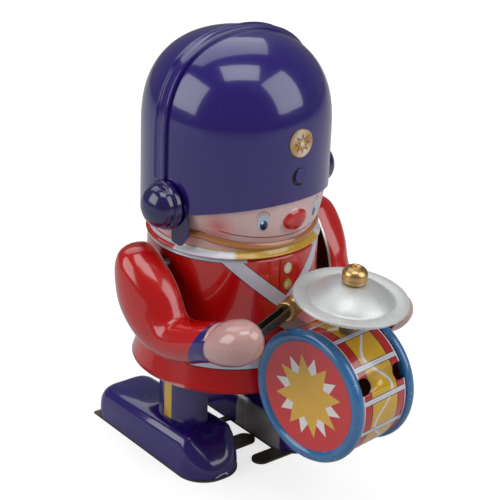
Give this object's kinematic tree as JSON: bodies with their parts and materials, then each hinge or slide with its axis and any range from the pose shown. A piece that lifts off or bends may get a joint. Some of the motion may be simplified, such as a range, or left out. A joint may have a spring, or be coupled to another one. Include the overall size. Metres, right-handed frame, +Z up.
{
  "type": "wind-up toy",
  "caption": "Tin wind-up drummer figure in a tall domed hat, with swinging arms, a side drum with a cymbal, and crank-driven walking feet.",
  "frame": {"origin": "on the figure's axis, in the plane that the soles stand on", "axes": "+Z up, the figure faces -Y, and its right hand is on the -X side"},
  "size_m": [0.07, 0.0906, 0.115],
  "materials": {
    "purple_enamel": "glossy lithographed tinplate",
    "trouser_enamel": "glossy tinplate with a yellow side stripe",
    "badge_print": "gold and white print",
    "face_print": "glossy lithographed tinplate with a printed face",
    "collar_print": "glossy yellow print",
    "tunic_print": "glossy red lithographed tinplate with white belts",
    "arm_print": "glossy red sleeve, purple cuff and pink hand",
    "drum_print": "glossy lithographed tinplate",
    "drumhead_print": "glossy print with a blue rolled rim",
    "cymbal_aluminium": "satin spun",
    "turned_brass": "turned, lightly tarnished",
    "motor_steel": "galvanised sheet",
    "bare_steel": "dull rolled steel",
    "turned_steel": "turned",
    "spring_steel": "blued",
    "key_plate": "nickel plated"
  },
  "bodies": {
    "figure": {"hat_front": "purple_enamel", "hat_back": "purple_enamel", "hat_seam_band": "purple_enamel", "hat_badge": "badge_print", "ear_cap_right": "purple_enamel", "ear_cap_left": "purple_enamel", "cheek_flap_right": "purple_enamel", "cheek_flap_left": "purple_enamel", "face_band": "face_print", "neck_collar": "collar_print", "torso_front": "tunic_print", "torso_back": "tunic_print", "drum_shell": "drum_print", "drumhead_right": "drumhead_print", "drumhead_left": "drumhead_print", "drum_bracket": "motor_steel", "cymbal": "cymbal_aluminium", "cymbal_post": "bare_steel", "cymbal_knob": "turned_brass", "frame_pillars": "motor_steel", "motor_plate_right": "motor_steel", "motor_plate_left": "motor_steel", "guide_pin_right": "motor_steel", "guide_pin_left": "motor_steel", "mainspring": "spring_steel"},
    "crank": {"crankshaft": "turned_steel", "crank_pinion": "turned_steel", "crank_wheel": "turned_brass", "beat_cam": "turned_brass", "crank_disc_right": "motor_steel", "crank_disc_left": "motor_steel"},
    "right_leg": {"sole_right": "bare_steel", "shoe_right": "purple_enamel", "leg_shell_right": "trouser_enamel", "leg_plate_right": "motor_steel"},
    "left_leg": {"sole_left": "bare_steel", "shoe_left": "purple_enamel", "leg_shell_left": "trouser_enamel", "leg_plate_left": "motor_steel"},
    "great_wheel": {"great_wheel": "turned_brass", "click": "turned_steel", "click_spring": "spring_steel"},
    "key": {"winding_key": "key_plate", "winding_arbor": "turned_steel", "ratchet_wheel": "turned_steel"},
    "idler": {"idler_arbor": "turned_steel", "idler_pinion": "turned_steel", "idler_wheel": "turned_brass"},
    "fly": {"fly_arbor": "turned_steel", "fly_pinion": "turned_steel", "flywheel": "turned_brass"},
    "arms": {"arm_shaft": "turned_steel", "arm_lever": "turned_steel", "arm_shell_right": "arm_print", "arm_shell_left": "arm_print", "drumstick_right": "bare_steel", "drumstick_left": "bare_steel", "stick_head_right": "turned_brass", "stick_head_left": "turned_brass"}
  },
  "joints": [
    {"name": "crank_spin", "type": "hinge", "parent": "figure", "child": "crank", "pos_m": [0, 0.001, 0.038], "axis": [1, 0, 0], "continuous": true},
    {"name": "right_leg_swing", "type": "hinge", "parent": "crank", "child": "right_leg", "pos_m": [-0.0123, 0.0022, 0.038], "axis": [1, 0, 0], "continuous": true},
    {"name": "left_leg_swing", "type": "hinge", "parent": "crank", "child": "left_leg", "pos_m": [0.0123, -0.0002, 0.038], "axis": [1, 0, 0], "continuous": true},
    {"name": "great_wheel_spin", "type": "hinge", "parent": "figure", "child": "great_wheel", "pos_m": [0, 0.01106, 0.038], "axis": [1, 0, 0], "continuous": true},
    {"name": "key_wind", "type": "hinge", "parent": "great_wheel", "child": "key", "pos_m": [0, 0.01106, 0.038], "axis": [1, 0, 0], "continuous": true},
    {"name": "idler_spin", "type": "hinge", "parent": "figure", "child": "idler", "pos_m": [0, -0.0021, 0.04651], "axis": [1, 0, 0], "continuous": true},
    {"name": "fly_spin", "type": "hinge", "parent": "figure", "child": "fly", "pos_m": [0, 0.00584, 0.04791], "axis": [1, 0, 0], "continuous": true},
    {"name": "arms_beat", "type": "hinge", "parent": "figure", "child": "arms", "pos_m": [0, -0.002, 0.058], "axis": [-1, 0, 0], "range_deg": [0, 10]}
  ],
  "couplings": [
    {"joint": "right_leg_swing", "follows": "crank_spin", "ratio": -1},
    {"joint": "left_leg_swing", "follows": "crank_spin", "ratio": -1},
    {"joint": "great_wheel_spin", "follows": "crank_spin", "ratio": -0.25},
    {"joint": "idler_spin", "follows": "crank_spin", "ratio": -4},
    {"joint": "fly_spin", "follows": "crank_spin", "ratio": 16}
  ]
}
